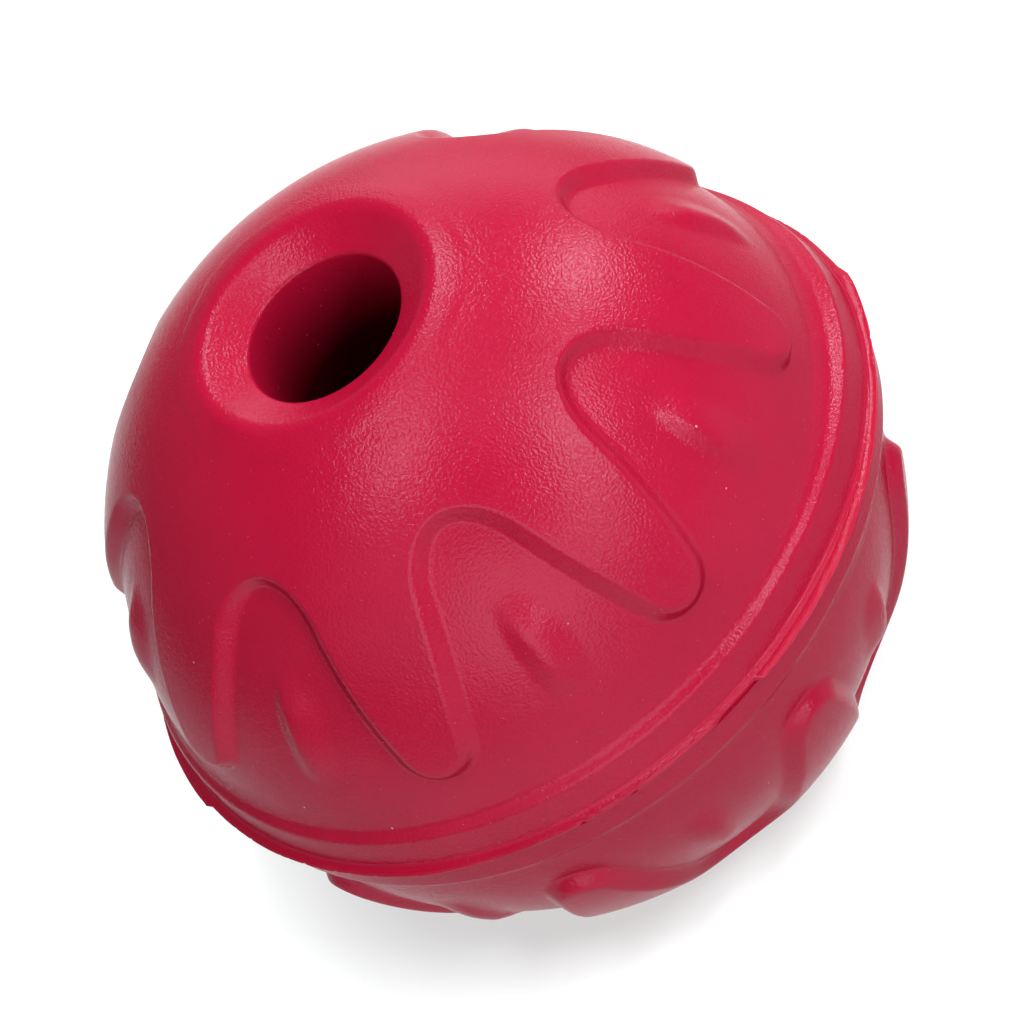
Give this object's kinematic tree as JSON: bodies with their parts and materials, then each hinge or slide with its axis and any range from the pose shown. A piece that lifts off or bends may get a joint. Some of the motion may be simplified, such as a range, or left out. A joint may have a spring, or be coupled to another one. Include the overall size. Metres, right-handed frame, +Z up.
{
  "type": "bouncing dog ball",
  "caption": "Hollow rubber bouncing ball for a dog, with a dished treat hole, a wavy raised layer with tear-shaped bumps on each half, and a ridged joint line round its middle.",
  "frame": {"origin": "the lowest point of the ball, on the axis of its hole, where it touches the floor", "axes": "+Z up along the axis of the hole, out of its mouth; +X through the middle of a lobe of the raised layer"},
  "size_m": [0.0818, 0.0818, 0.0776],
  "materials": {
    "ball_rubber": "matte, with a fine leathery grain",
    "bond_rubber": "satin, ragged where it was squeezed out"
  },
  "bodies": {
    "root": {"upper_half": "ball_rubber", "lower_half": "ball_rubber", "bond_ring": "bond_rubber"}
  },
  "joints": []
}
